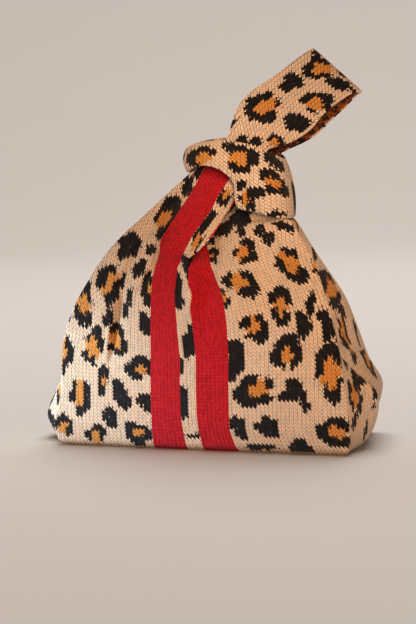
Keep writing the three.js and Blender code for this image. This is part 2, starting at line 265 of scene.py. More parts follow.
def along(rows, name, at):
    """A table's column at places between its rows, on a smooth curve without overshoot. The first
    column holds the places."""
    places, values = rows[next(iter(rows))], rows[name]
    at = np.asarray(at, float)
    spans = np.diff(places)
    wide = values.ndim > 1
    slopes = np.diff(values, axis=0) / (spans[:, None] if wide else spans)
    before, after = slopes[:-1], slopes[1:]
    same = before * after > 0
    inner = np.where(same, 2 * before * after / np.where(same, before + after, 1), 0)
    tangents = np.concatenate([slopes[:1], inner, slopes[-1:]])
    i = np.clip(np.searchsorted(places, at, side="left") - 1, 0, len(places) - 2)
    t = np.clip((at - places[i]) / spans[i], 0, 1)
    span = spans[i]
    if wide:
        t, span = t[..., None], span[..., None]
    pull = t * (1 - t) ** 2 * span * tangents[i] + t * t * (t - 1) * span * tangents[i + 1]
    return lerp(values[i], values[i + 1], ease(t)) + pull


crease = partial(along, CREASES)
fullness = partial(along, FULLNESS)
neckline_x = partial(along, NECKLINE, "x")


def points(x, y, z):
    return np.stack(np.broadcast_arrays(x, y, z), -1).astype(float)


def fold_height(folds, x, z):
    """How far the folds of a table stand out at points of a panel."""
    total = 0
    for fx, fz, to_x, to_z, height, width in zip(*(folds[name] for name in FOLD_COLUMNS.split())):
        run_x, run_z = to_x - fx, to_z - fz
        length = math.hypot(run_x, run_z)
        t = ((x - fx) * run_x + (z - fz) * run_z) / length**2
        aside = ((x - fx) * run_z - (z - fz) * run_x) / length
        strength = ease(1 + t / FOLD_START) * ease((1 - t) / FOLD_FADE)
        total = total + height * strength * np.exp(-((aside / width) ** 2))
    return total


def front_point(x, z):
    left, right = crease("left", z), crease("right", z)
    across = (x - left) / (right - left)
    folds = fold_height(LEFT_FOLDS, x, z) + fold_height(MIDDLE_FOLDS, x, z)
    out = fullness("belly", z) * hump(across) + folds * ease_ends(across, FOLD_EDGE)
    return points(x, crease("front", z) - out, z)


def back_point(x, z):
    left, right = crease("back_left", z), crease("back_right", z)
    across = (x - left) / (right - left)
    return points(x, crease("back", z) + fullness("belly", z) * hump(across), z)


def gusset_point(front_edge, back_edge, stand, t):
    to_fold = np.where(t < GUSSET_FOLD, t / GUSSET_FOLD, (1 - t) / (1 - GUSSET_FOLD))
    point = lerp(front_edge, back_edge, t[..., None])
    point[..., 0] += stand * ease(to_fold)
    return point


def front_left(u, z):
    return front_point(lerp(crease("left", z), neckline_x(z), u), z)


def front_right(u, z):
    return front_point(lerp(neckline_x(z), crease("right", z), u), z)


def back_right(u, z):
    return back_point(lerp(crease("back_right", z), neckline_x(z), u), z)


def back_left(u, z):
    return back_point(lerp(neckline_x(z), crease("back_left", z), u), z)


def gusset(side, z):
    """A side gusset's front edge, its back edge and how far its fold stands out between them."""
    front_edge = points(crease(side, z), crease("front", z), z)
    back_edge = points(crease("back_" + side, z), crease("back", z), z)
    return front_edge, back_edge, fullness("gusset_" + side, z)


def gusset_right(u, z):
    front_edge, back_edge, stand = gusset("right", z)
    return gusset_point(front_edge, back_edge, stand, u)


def gusset_left(u, z):
    front_edge, back_edge, stand = gusset("left", z)
    return gusset_point(front_edge, back_edge, -stand, 1 - u)


def strap_roll(t, p):
    in_roll = np.maximum(0, (t - 1 + ROLL_WIDTH) / ROLL_WIDTH)
    return STRAP_ROLL * in_roll**2 * ease((p - ROLL_START) / ROLL_RUN)


def ribbon_edges(rows, p, side):
    """The outer and inner edge of a strap or shoulder. side is 1 in front and -1 at the back."""
    outer = along(rows, "outer" if side > 0 else "back", p)
    inner = along(rows, "inner", p) * (1, side, 1)
    return outer, inner


def strap_point(t, p, side):
    outer, inner = ribbon_edges(STRAP, p, side)
    point = lerp(outer, inner, t[..., None])
    swell = STRAP_SWELL * ease(p / SWELL_RUN) * (1 - p / 2) * hump(t)
    folds = fold_height(LEFT_FOLDS, point[..., 0], point[..., 2]) if side > 0 else 0
    point[..., 1] -= side * (swell + folds * ease_ends(t, FOLD_EDGE) - strap_roll(t, p))
    return point


def shoulder_point(t, p, side):
    outer, inner = ribbon_edges(SHOULDER, p, side)
    point = lerp(inner, outer, t[..., None])
    point[..., 1] = lerp(inner[..., 1], outer[..., 1], ease(t / SHOULDER_HOLLOW))
    return point


def carried_on(shape, wall):
    """A shape above the neck, carried on from the wall below it: what they differ by fades out."""

    def at(u, p):
        misfit = wall(u, np.full_like(u, NECK_HEIGHT)) - shape(u, np.zeros_like(u))
        return shape(u, p) + misfit * (1 - ease(p / CARRY))[..., None]

    return at


strap_front = carried_on(lambda u, p: strap_point(u, p, 1), front_left)
strap_back = carried_on(lambda u, p: strap_point(1 - u, p, -1), back_left)
shoulder_front = carried_on(lambda u, p: shoulder_point(u, p, 1), front_right)
shoulder_back = carried_on(lambda u, p: shoulder_point(1 - u, p, -1), back_right)


def upper_right(u, p):
    stand = lerp(fullness("gusset_right", NECK_HEIGHT), RIGHT_ARMPIT["stand"], p / RIGHT_ARMPIT["share"])
    return gusset_point(shoulder_front(np.ones_like(u), p), shoulder_back(np.zeros_like(u), p), stand, u)


def upper_left(u, p):
    stand = lerp(fullness("gusset_left", NECK_HEIGHT), LEFT_ARMPIT["stand"], p / LEFT_ARMPIT["share"])
    return gusset_point(strap_front(np.zeros_like(u), p), strap_back(np.ones_like(u), p), -stand, 1 - u)


# Where the knitted stripes lie on the front: x of their edges at a height, and on the strap as
# shares of its width. The second stripe's right edge goes on behind the strap.
STRIPE = 29.6
STRIPE_GAP = 14.8
SECOND_RIGHT = 2 * STRIPE + STRIPE_GAP
FIRST_STRIPE = table(
    "z left right",
    (0, -43, -11),
    (38, -43, -15),
    (73, -43, -15),
    (107, -44.5, -19),
    (141, -46.5, -24),
    (160, -46.5, -23),
)
SECOND_STRIPE = table(
    "z right",
    (0, 37),
    (10, 33),
    (24, 30),
    (71, 30),
    (103, 28),
    (133, 22),
    (152, 12),
    (167, 3),
    (179, -2),
    (212, -11),
)
STRAP_STRIPE = table(
    "p left right",
    (0, 0.614, 0.87),
    (0.1, 0.62, 0.925),
    (0.2, 0.527, 0.858),
    (0.4, 0.43, 0.8),
    (0.6, 0.356, 0.8),
    (0.8, 0.234, 0.72),
    (1, 0.05, 0.67),
)
# The rows of stitches turn towards the strap and the shoulder as they come near the neck, about a
# column at a share of each panel's width
LEAN_START = 45
LEFT_LEAN = 0.48
LEFT_PIVOT = 0.33
RIGHT_LEAN = -0.23
RIGHT_PIVOT = 0.5


def across_lengths(grid):
    """How far each point of a grid lies along its row of cloth."""
    steps = norm(np.diff(grid, axis=1), axis=2)
    return np.concatenate([np.zeros((len(grid), 1)), np.cumsum(steps, axis=1)], axis=1)


def up_lengths(grid):
    return across_lengths(grid.transpose(1, 0, 2)).T


def fabric_of(columns, rows):
    return np.stack(np.broadcast_arrays(columns, rows), -1)


def at_each_row(places, rows_x, values):
    return np.array([np.interp(x, xs, ys) for x, xs, ys in zip(places, rows_x, values)])[:, None]


def leaning_rows(grid, lean, pivot):
    x, z = grid[..., 0], grid[..., 2]
    middle = lerp(x[:, :1], x[:, -1:], pivot)
    return z + lean * ease((z - LEAN_START) / (NECK_HEIGHT - LEAN_START)) * (x - middle)


def stripe_columns(grid, left_at, right_at):
    """Columns of stitches on a grid on which the first stripe lies between two lengths."""
    lengths = across_lengths(grid)
    inside = STRIPE * (lengths - left_at) / (right_at - left_at)
    past = STRIPE + lengths - right_at
    return np.where(lengths < left_at, lengths - left_at, np.where(lengths > right_at, past, inside))


def front_left_fabric(grid):
    z, lengths = grid[:, 0, 2], across_lengths(grid)
    edges = [along(FIRST_STRIPE, name, z) for name in ("left", "right")]
    left_at, right_at = (at_each_row(edge, grid[..., 0], lengths) for edge in edges)
    rows = leaning_rows(grid, LEFT_LEAN, LEFT_PIVOT)
    return fabric_of(stripe_columns(grid, left_at, right_at), rows)


def front_right_fabric(grid, left_end):
    """Columns right of the neckline: from the left half's last one to the second stripe's edge, and
    on past it. Higher up, the left half leaves and its stripe goes with it."""
    lengths, start = across_lengths(grid), grid[:, 0]
    z = start[:, 2]
    edge = along(SECOND_STRIPE, "right", z)
    edge_at = at_each_row(edge, grid[..., 0], lengths)
    parted = ease((z - STRIPES_PART) / (STRIPES_PARTED - STRIPES_PART))[:, None]
    begin = lerp(left_end, SECOND_RIGHT - edge_at, parted)
    inside = begin + (SECOND_RIGHT - begin) * lengths / edge_at
    columns = np.where(lengths < edge_at, inside, SECOND_RIGHT + lengths - edge_at)
    return fabric_of(columns, leaning_rows(grid, RIGHT_LEAN, RIGHT_PIVOT))


def square_lengths(grid, column):
    """How far up each point lies, square to one column of the grid."""
    line = grid[:, column]
    run = np.gradient(line, axis=0)
    run /= norm(run, axis=1)[:, None]
    return up_lengths(grid)[:, [column]] + np.einsum("jik,jk->ji", grid - line[:, None], run)


class Cloth:
    """A sheet of knit made of grids of points that share their edges, with each point's place in
    the fabric: columns of stitches across and rows up, in millimetres."""

    def __init__(self):
        self.grids, self.fabrics, self.reliefs = [], [], []

    def patch(self, grid, fabric, relief=0.0):
        self.grids.append(grid)
        self.fabrics.append(fabric)
        self.reliefs.append(np.broadcast_to(relief, grid.shape[:2]))
        return self

    def corners(self):
        """The four corners of every face, as places in the list of all grids' points."""
        quads, start = [], 0
        for grid in self.grids:
            rows, columns = grid.shape[:2]
            place = start + np.arange(rows * columns).reshape(rows, columns)
            around = (place[:-1, :-1], place[:-1, 1:], place[1:, 1:], place[1:, :-1])
            quads.append(np.stack(around, -1).reshape(-1, 4))
            start += rows * columns
        return np.concatenate(quads)

    def build(self, name, thickness, chart):
        """The closed, thick mesh: its face, its reverse and a round edge between them."""
        every = np.concatenate([grid.reshape(-1, 3) for grid in self.grids])
        fabric = np.concatenate([f.reshape(-1, 2) for f in self.fabrics])
        relief = np.concatenate([r.reshape(-1) for r in self.reliefs])
        in_microns = np.round(every * 1000)
        _, first, shared = np.unique(in_microns, axis=0, return_index=True, return_inverse=True)
        shared = shared.reshape(-1)
        vertex = every[first]
        height = np.bincount(shared, relief) / np.bincount(shared)
        corners = self.corners()
        faces = shared[corners]
        vertex = vertex + vertex_normals(vertex, faces) * height[:, None]
        normal = vertex_normals(vertex, faces)

        count = len(vertex)
        edges = free_edges(faces)
        ring, rim = rim_points(vertex, normal, edges, thickness)
        all_points = np.concatenate([vertex, vertex - normal * thickness, rim])
        rim_faces = rim_quads(edges, ring, count, len(ring))
        own = np.full(count, -1)
        own[shared[::-1]] = np.arange(len(shared))[::-1]
        rim_source = np.concatenate([own, own, np.tile(own[ring], RIM_STEPS)])
        polygons = np.concatenate([faces, faces[:, ::-1] + count, rim_faces])
        sources = np.concatenate([corners, corners[:, ::-1], rim_source[rim_faces]])
        looks = np.repeat([0, 1, 0], [len(faces), len(faces), len(rim_faces)])
        return make_mesh(name, all_points, polygons, sources, looks, fabric, chart)


def vertex_normals(vertex, faces):
    a, b, c, d = (vertex[faces[:, i]] for i in range(4))
    across = np.cross(c - a, d - b)
    normal = np.zeros_like(vertex)
    for i in range(4):
        np.add.at(normal, faces[:, i], across)
    return normal / np.maximum(norm(normal, axis=1), TINY)[:, None]


def free_edges(faces):
    """Edges that only one face has, from and to as that face runs."""
    runs = np.concatenate([faces[:, [i, (i + 1) % 4]] for i in range(4)])
    runs = runs[runs[:, 0] != runs[:, 1]]
    size = runs.max() + 1
    forward, backward = runs[:, 0] * size + runs[:, 1], runs[:, 1] * size + runs[:, 0]
    return runs[~np.isin(forward, backward)]


def rim_points(vertex, normal, edges, thickness):
    """Points of a half round that joins the face to the reverse along every free edge."""
    ring = np.unique(edges)
    outward = np.zeros_like(vertex)
    direction = vertex[edges[:, 1]] - vertex[edges[:, 0]]
    for end in (0, 1):
        np.add.at(outward, edges[:, end], np.cross(direction, normal[edges[:, end]]))
    side, up = outward[ring], normal[ring]
    side /= np.maximum(norm(side, axis=1), TINY)[:, None]
    middle = vertex[ring] - up * thickness / 2
    turns = [math.pi * (step + 1) / (RIM_STEPS + 1) for step in range(RIM_STEPS)]
    rims = [middle + (up * math.cos(turn) + side * math.sin(turn)) * thickness / 2 for turn in turns]
    return ring, np.concatenate(rims)


def rim_quads(edges, ring, count, width):
    place = np.zeros(count, int)
    place[ring] = np.arange(width)
    between = [2 * count + step * width + place[edges] for step in range(RIM_STEPS)]
    levels = [edges, *between, edges + count]
    around = ((low[:, 1], low[:, 0], high[:, 0], high[:, 1]) for low, high in zip(levels, levels[1:]))
    return np.concatenate([np.stack(each, -1) for each in around])


def make_mesh(name, all_points, polygons, sources, looks, fabric, chart):
    """The mesh, with each corner's place in the fabric and what the chart says of it."""
    kept = polygons != np.roll(polygons, 1, axis=1)
    whole = kept.sum(axis=1) > 2
    polygons, sources, looks, kept = polygons[whole], sources[whole], looks[whole], kept[whole]
    counts = kept.sum(axis=1)
    faces = np.split(polygons[kept], np.cumsum(counts)[:-1])
    mesh = bpy.data.meshes.new(name)
    mesh.from_pydata(all_points * MM, [], faces)
    corner = sources[kept]
    values = {"fabric": np.pad(fabric, ((0, 0), (0, 1))), **chart(fabric)}
    for attribute, value in values.items():
        layer = mesh.attributes.new(attribute, "FLOAT_VECTOR", "CORNER")
        layer.data.foreach_set("vector", value[corner].astype(np.float32).ravel())
    mesh.polygons.foreach_set("material_index", looks.astype(np.int32))
    mesh.polygons.foreach_set("use_smooth", np.ones(len(faces), bool))
    mesh.update()
    piece = bpy.data.objects.new(name, mesh)
    bpy.context.collection.objects.link(piece)
    return piece


def grid_of(at, columns, rows):
    u, row = np.meshgrid(np.linspace(0, 1, columns + 1), rows)
    return at(u, row)


# Where the back's columns start, so that its stripes lie on the same numbers as the front's in
# every thousand, and the heights between which the front's right half leaves the left half's stripe
CHART = 1000
BACK_MIDDLE = CHART + 37
STRIPES_PART = 120
STRIPES_PARTED = 140

# From the right shoulder's inner edge to the second stripe's right edge
SHOULDER_STRIPE = table("p edge", (0, 18), (0.1, 13), (0.2, 9.5), (0.4, 0), (0.6, -15), (1, -37))


def wall_heights():
    near_floor = [0, 0.75, 1.5, 3]
    above = np.linspace(CREASES["z"][1], NECK_HEIGHT, WALL_ROWS - len(near_floor))
    return np.concatenate([near_floor, above])


def body_cloth():
    """The body's walls and what goes on above its neck, and the flat bottom in rings."""
    cloth = Cloth()
    z, p = wall_heights(), np.linspace(0, 1, NECK_STEPS + 1)
    left_front = grid_of(front_left, FRONT_STEPS, z)
    right_front = grid_of(front_right, FRONT_STEPS, z)
    right_side = grid_of(gusset_right, GUSSET_STEPS, z)
    right_back = grid_of(back_right, BACK_STEPS, z)
    left_back = grid_of(back_left, BACK_STEPS, z)
    left_side = grid_of(gusset_left, GUSSET_STEPS, z)

    left_fabric = front_left_fabric(left_front)
    right_fabric = front_right_fabric(right_front, left_fabric[:, -1:, 0])
    walls = [
        (left_front, left_fabric),
        (right_front, right_fabric),
        (right_side, beside(right_side, right_fabric[:, -1:], 0)),
        (right_back, beside(right_back, back_start(z), -1)),
        (left_back, beside(left_back, back_start(z), 0)),
        (left_side, beside(left_side, left_fabric[:, :1], -1)),
    ]
    for grid, fabric in walls:
        share = np.linspace(0, 1, grid.shape[1])
        folds = fold_height(GUSSET_FOLDS, grid[..., 1], grid[..., 2]) if grid is right_side else 0
        cloth.patch(grid, fabric, folds * ease_ends(share, FOLD_EDGE))
        share = np.linspace(0, 1, BOTTOM_RINGS + 1)[:, None]
        drop = norm(grid[:1], axis=-1) * (share - 1)
        cloth.patch(grid[:1] * share[..., None], fabric_of(fabric[:1, :, 0], drop))

    strap = grid_of(strap_front, FRONT_STEPS, p)
    rows = NECK_HEIGHT + square_lengths(strap, round(FRONT_STEPS * LEFT_PIVOT))
    rows = joined(rows, p, left_fabric[-1, :, 1])
    strap_fabric = fabric_of(strap_columns(strap, p, left_fabric[-1, :, 0]), rows)
    cloth.patch(strap, strap_fabric)
    shoulder = grid_of(shoulder_front, FRONT_STEPS, p)
    rows = right_fabric[-1, :, 1] + up_lengths(shoulder)
    shoulder_fabric = fabric_of(shoulder_columns(shoulder, p, right_fabric[-1, :, 0]), rows)
    cloth.patch(shoulder, shoulder_fabric)
    for behind, edge in ((strap_back, 0), (shoulder_back, -1)):
        grid = grid_of(behind, BACK_STEPS, p)
        lengths = across_lengths(grid)
        rows = joined(NECK_HEIGHT + square_lengths(grid, BACK_STEPS // 2), p, NECK_HEIGHT)
        cloth.patch(grid, fabric_of(BACK_MIDDLE + lengths - lengths[:, [edge]], rows))

    left_rows = p[p <= LEFT_ARMPIT["share"]]
    side = grid_of(upper_left, GUSSET_STEPS, left_rows)
    cloth.patch(side, beside(side, strap_fabric[: len(left_rows), :1], -1))
    right_rows = p[p <= RIGHT_ARMPIT["share"]]
    side = grid_of(upper_right, GUSSET_STEPS, right_rows)
    cloth.patch(side, beside(side, shoulder_fabric[: len(right_rows), -1:], 0))
    return cloth


def back_start(z):
    return fabric_of(BACK_MIDDLE, z)[:, None]


def beside(grid, start, edge):
    """A grid's fabric, carried on from that of its first or last column, edge 0 or -1."""
    lengths = across_lengths(grid)
    return fabric_of(start[..., 0] + lengths - lengths[:, [edge]], start[..., 1])


def joined(values, p, wall_values):
    """Columns or rows of stitches above the neck, carried on from those of the wall below it."""
    return values + (wall_values - values[0]) * (1 - ease(p / CARRY))[:, None]


def strap_columns(grid, p, wall_columns):
    lengths = across_lengths(grid)
    share = np.linspace(0, 1, grid.shape[1])
    edges = [along(STRAP_STRIPE, name, p) for name in ("left", "right")]
    left_at, right_at = (at_each_row(edge, [share] * len(p), lengths) for edge in edges)
    return joined(stripe_columns(grid, left_at, right_at), p, wall_columns)


def shoulder_columns(grid, p, wall_columns):
    edge = along(SHOULDER_STRIPE, "edge", p)
    return joined(SECOND_RIGHT + across_lengths(grid) - edge[:, None], p, wall_columns)


# The root of a gap between two stations that counts as none
CLOSE = 1e-4


def curve_through(rows, closed, at):
    """Points on the smooth curve through rows of points, at shares of its stations."""
    count = len(rows)
    place = np.asarray(at) * (count if closed else count - 1)
    i = np.floor(place).astype(int)
    t = (place - i)[..., None]
    if closed:
        before, start, end, after = (rows[(i + step) % count] for step in (-1, 0, 1, 2))
    else:
        i = np.minimum(i, count - 2)
        t = (place - i)[..., None]
        longer = np.concatenate([2 * rows[:1] - rows[1:2], rows, 2 * rows[-1:] - rows[-2:-1]])
        before, start, end, after = (longer[i + step] for step in (0, 1, 2, 3))
    pairs = ((before, start), (start, end), (end, after))
    gap = [np.sqrt(norm(b - a, axis=-1, keepdims=True)) for a, b in pairs]
    gap[1] = np.where(gap[1] < CLOSE, 1, gap[1])
    gap = [np.where(each < CLOSE, gap[1], each) for each in gap]
    pull = [(b - a) / g for a, b, g in zip((before, start, end), (start, end, after), gap)]
    leave = (pull[0] - (end - before) / (gap[0] + gap[1]) + pull[1]) * gap[1]
    reach = (pull[1] - (after - start) / (gap[1] + gap[2]) + pull[2]) * gap[1]
    bend = -3 * start + 3 * end - 2 * leave - reach
    turn = 2 * start - 2 * end + leave + reach
    return start + t * (leave + t * (bend + t * turn))


# The height at which the short handle's rows of stitches start
BAND_LOW = 202


def band_cloth():
    """The short handle. Its stations run clockwise from above, so its columns are turned round."""
    u, v = np.meshgrid(np.linspace(0, 1, BAND_STEPS + 1), np.linspace(0, 1, BAND_ROWS + 1))
    place = (1 - u) % 1

    def across(at, share):
        low, high = (curve_through(BAND[name], True, at) for name in ("low", "high"))
        return lerp(low, high, share[..., None])

    half = np.full_like(v, 0.5)
    run = across((place + RING_STEP) % 1, half) - across((place + 1 - RING_STEP) % 1, half)
    outward = np.stack([-run[..., 1], run[..., 0], np.zeros_like(u)], -1)
    outward /= norm(outward, axis=-1, keepdims=True)
    swell = curve_through(np.stack([BAND["swell"]] * 3, -1), True, place)[..., :1]
    grid = across(place, v) + outward * swell * hump(v)[..., None]
    columns = square_lengths(grid[..., :2].transpose(1, 0, 2), -1).T
    columns -= columns[-1, -1]
    rows = grid[:1, :, 2] - BAND_LOW + up_lengths(grid)
    return Cloth().patch(grid, fabric_of(columns, rows))


def loop_cloth():
    u, v = np.meshgrid(np.linspace(0, 1, LOOP_COLUMNS + 1), np.linspace(0, 1, LOOP_STEPS + 1))
    grid = lerp(curve_through(LOOP["up"], False, v), curve_through(LOOP["low"], False, v), u[..., None])
    grid[..., 1] -= HANDLE_CROWN * hump(u) * np.cos(np.pi * v)
    lengths, up = across_lengths(grid), up_lengths(grid)[:, LOOP_COLUMNS // 2]
    columns = lengths - lengths[:, -1:] / 2
    return Cloth().patch(grid, fabric_of(columns, up[:, None]))


# Leopard spots, listed one by one. across and up are a spot's middle among the columns and rows, long
# and wide its half sizes, and tilt how far its long way leans to the right of upright, in degrees.
# core is its ochre middle as a share of its size, and open and also are the hours of the clock at
# which its black ring is open over gap hours each. Values left out at a row's end are 0.
SPOT_COLUMNS = "across up long wide tilt core open also gap"
BODY_SPOTS = (
    # the strap and the left of the front
    (-3, 267, 8, 4), (-7, 251, 9, 7), (-9, 218, 19, 15, 10, 0.45, 7, 7, 1.2),
    (-33, 176, 15, 9, 44), (-9, 188, 9, 4, 33), (-16, 165, 11, 5, 35),
    (-44, 141, 19, 12, 28, 0.38, 7, 1, 0.8), (-71, 116, 18, 9, 22, 0.42, 9, 3, 1.5),
    (-45, 116, 8, 5, 20), (-24, 133, 13, 4, 12), (-1, 154, 13, 11, 15, 0.36, 1, 1, 1),
    (-4, 121, 12, 8, -15), (-59, 88, 16, 11, 0, 0.52, 9, 4.5, 1.6),
    (-92, 76, 14, 14, 0, 0.5, 12, 6, 1), (-34, 98, 16, 11, -25, 0.52, 9, 9, 2),
    (-10, 75, 15, 12, 60, 0.32, 5, 5, 1), (-47, 60, 14, 5, 5, 0.32, 3, 3, 1.2),
    (-70, 45, 18, 10, 0, 0.42, 12, 7, 0.9), (-29, 47, 17, 7, -24), (-5, 42, 10, 7, -30),
    (-40, 27, 10, 7, -35), (-86, 18, 11, 9, 0, 0.45, 7, 7, 3),
    (-55, 10, 10, 10, 0, 0.5, 6, 6, 3), (-14, 13, 11, 12, 0, 0.4),
    # between the stripes and on the strap's right
    (32, 163, 16, 7), (41, 104, 19, 8, -8), (30, 81, 13, 3), (31, 42, 15, 7, -5),
    (40, 13, 7, 2, 82), (35, 271, 10, 6, 0, 0.5, 12, 12, 3), (33, 242, 11, 5),
    (36, 227, 10, 6, 0, 0.5, 12, 6, 2),
    # the right of the front. The first four lie in the hollow under the short handle. They are real black
    # spots, drawn large so that they also paint the deep shade there
    (113, 218, 18, 12), (110, 199, 9, 5), (92, 212, 13, 13), (79, 200, 7, 4), (128, 191, 6, 6),
    (134, 182, 7, 5, -35), (150, 191, 12, 5, -55), (77, 181, 8, 8, 0, 0.25),
    (111, 175, 12, 12, 0, 0.45, 11, 8, 1.2), (149, 154, 19, 12, -30, 0.5, 11, 3, 1.2),
    (97, 149, 17, 12, -70, 0.45, 12, 8, 1.2), (75, 141, 10, 6, -15, 0.4, 3, 9, 2),
    (125, 124, 18, 11, 5, 0.42, 9, 4, 1), (143, 106, 10, 8, -10), (154, 120, 10, 4, 20),
    (99, 109, 15, 11, -20, 0.38, 12, 8.5, 1), (73, 84, 20, 17, 0, 0.25, 9, 9, 0.8),
    (127, 86, 14, 14, 0, 0.36, 6, 6, 0.7), (163, 103, 12, 6, -8),
    (164, 70, 24, 13, -10, 0.46, 3, 7.5, 1.3), (98, 55, 18, 15, 75, 0.42, 3, 1, 0.8),
    (133, 57, 10, 8), (142, 46, 11, 4, -12), (125, 50, 5, 5, 30), (82, 22, 12, 7, -25),
    (109, 23, 9, 11), (168, 20, 14, 15, 0, 0.42, 3, 3, 0.6), (95, 5, 16, 3, 88),
    (134, 7, 11, 6, 88),
    # the right gusset
    (171, 97, 7, 4), (192, 28, 9, 4, 30), (211, 18, 9, 3, 20),
    (195, 49, 14, 12, -8, 0.45, 12, 6, 1), (222, 49, 6, 4), (222, 37, 5, 2),
    (208, 63, 9, 7, 0, 0.3, 1, 1, 1), (234, 77, 9, 7, 0, 0.35, 3, 9, 0.6),
    (194, 84, 14, 9, 0, 0.4, 9, 9, 1), (273, 65, 12, 14, 0, 0.45, 2, 2, 2),
    (245, 91, 13, 8, 0, 0.4, 12, 6, 1), (250, 105, 7, 4, -35), (269, 89, 10, 3),
    (242, 123, 17, 13, 0, 0.48, 3, 8, 1.2), (236, 154, 8, 4),
)
# Where the rows lean in the left gusset, between the strewn spots
LEFT_GUSSET_SPOTS = (
    (-102, 105, 13, 8, 10, 0.42, 8, 2, 1), (-86, 133, 11, 7, 20), (-88, 108, 8, 4, -20),
)
BAND_SPOTS = (
    (-80, 55, 10, 14, 0, 0.45, 4, 5, 2.5), (-45, 54, 13, 15, 0, 0.46, 9, 9, 1.5),
    (-59, 65, 3, 6), (-17, 50, 12, 6, -48), (-19, 30, 15, 8, -38, 0.42, 9, 9, 1),
    (-34, 22, 7, 7), (-45, 29, 5, 3), (-42, 15, 7, 4, -30, 0.85), (-36, 11, 5, 4),
    (-20, 3, 3, 7),
)
HANDLE_SPOTS = (
    (-22, 133, 4, 4), (-9, 123, 12, 12, 0, 0.5, 1.5, 1.5, 2.5), (6, 134, 3, 5),
    (-13, 99, 10, 9), (14, 123, 8, 9), (26, 127, 3, 7), (17, 96, 12, 13, 0, 0.48, 4, 7, 1.2),
    (-13, 66, 17, 14, 0, 0.48, 2.2, 12, 0.9), (19, 69, 11, 9, 85), (-6, 31, 6, 6),
    (18, 43, 7, 9, 0, 0.42, 7, 5, 1.5), (5, 35, 6, 6, -30), (-23, 42, 6, 2),
)
# How far from a spot its own fields are worked out, how an outline and an ochre middle waver round
# a spot, as numbers of waves and their heights, and how far the middle shifts to the openings
SPOT_REACH = 1.6
SPOT_MARGIN = 8
OUTLINE_WAVES = ((2, 0.08), (3, 0.09), (5, 0.06))
CORE_WAVES = ((2, 0.12), (3, 0.1))
CORE_SHIFT = 0.12
CORE_LAP = 0.1
HOUR = math.pi / 6
FAR_OFF = -8.0
SLOPE_STEP = 0.5

# The spots strewn where none shows in the view from the front: how far apart and how far off their
# grid, their half sizes and tilt, and what share of a wide one its ochre middle is
SPACING = 29
ROW_SPACING = 0.87
STRAY = 3
LENGTHS = (11, 17)
WIDTHS = (7, 12)
TILTS = (-70, 70)
WIDE = 8
CORES = (0, 0.4, 0.46, 0.5)
GAPS = (0.8, 1.8)
CLEARANCE = 5


def scattered(seed, across, up, placed):
    """Spots strewn evenly over a stretch of fabric, clear of those listed."""
    draw = np.random.default_rng(seed)
    rows = []
    for row, v in enumerate(np.arange(*up, SPACING * ROW_SPACING)):
        for u in np.arange(*across, SPACING) + (row % 2) * SPACING / 2:
            place = np.array([u, v]) + draw.uniform(-STRAY, STRAY, 2)
            long, wide, tilt = draw.uniform(*LENGTHS), draw.uniform(*WIDTHS), draw.uniform(*TILTS)
            core = draw.choice(CORES) if wide > WIDE else 0
            hour, also, gap = draw.uniform(0, 12), draw.uniform(0, 12), draw.uniform(*GAPS)
            spots = (spot[:4] for spot in placed)
            away = [math.hypot(u - x, v - y) - (a + b) / 2 for x, y, a, b in spots]
            if min(away, default=math.inf) > CLEARANCE + (long + wide) / 2:
                rows.append((*place, long, wide, tilt, core, hour, also, gap))
    return tuple(rows)


def waves(kinds, phases, angle):
    return sum(size * np.cos(count * angle + phase) for (count, size), phase in zip(kinds, phases))


def spot_fields(fabric, spots):
    """How far each place lies inside the black and inside the ochre, in millimetres."""
    dark, ochre = np.full(len(fabric), FAR_OFF), np.full(len(fabric), FAR_OFF)
    for number, spot in enumerate(spots):
        left_out = [0] * (len(SPOT_COLUMNS.split()) - len(spot))
        across, up, long, wide, tilt, core, *hours, gap = (*spot, *left_out)
        offset = fabric - (across, up)
        near = np.flatnonzero(np.abs(offset).max(axis=1) < SPOT_REACH * max(long, wide) + SPOT_MARGIN)
        if not len(near):
            continue
        x, y = offset[near].T
        sine, cosine = math.sin(math.radians(tilt)), math.cos(math.radians(tilt))
        to_end, to_side = x * sine + y * cosine, x * cosine - y * sine
        radius, angle = np.hypot(to_end / long, to_side / wide), np.arctan2(to_side, to_end)
        waved = len(OUTLINE_WAVES)
        draw = np.random.default_rng(number + 1)
        phases = draw.uniform(0, 2 * math.pi, waved + len(CORE_WAVES))
        size = (long + wide) / 2
        black = (1 + waves(OUTLINE_WAVES, phases, angle) - radius) * size
        if core > 0:
            turns = [hour * HOUR for hour in hours]
            towards = sum(np.array([math.sin(turn), math.cos(turn)]) for turn in turns)
            middle = towards * CORE_SHIFT / 2 * size
            end, side = to_end - middle @ (sine, cosine), to_side - middle @ (cosine, -sine)
            from_core = np.hypot(end / long, side / wide)
            brown = (core * (1 + waves(CORE_WAVES, phases[waved:], angle)) - from_core) * size
            black = np.minimum(black, -brown)
            brown = brown + CORE_LAP * size
            for turn in turns if gap > 0 else ():
                aside = np.abs((np.arctan2(x, y) - turn + math.pi) % (2 * math.pi) - math.pi)
                inside = (gap * HOUR / 2 - aside) * np.hypot(x, y)
                black = np.minimum(black, -inside)
                reach = ((1 + core) / 2 - radius) * size
                brown = np.maximum(brown, np.minimum(inside, reach))
            ochre[near] = np.maximum(ochre[near], brown)
        dark[near] = np.maximum(dark[near], black)
    return np.stack([dark, ochre], -1)


def chart_of(spots):
    """What a piece's spots say of a place in the fabric, with how it changes across and up."""

    def chart(fabric):
        here = spot_fields(fabric, spots)
        steps = np.eye(2) * SLOPE_STEP
        slopes = [(spot_fields(fabric + step, spots) - here) / SLOPE_STEP for step in steps]
        fields = np.stack([here, *slopes], -1)
        return {"dark": fields[:, 0], "ochre": fields[:, 1]}

    return chart


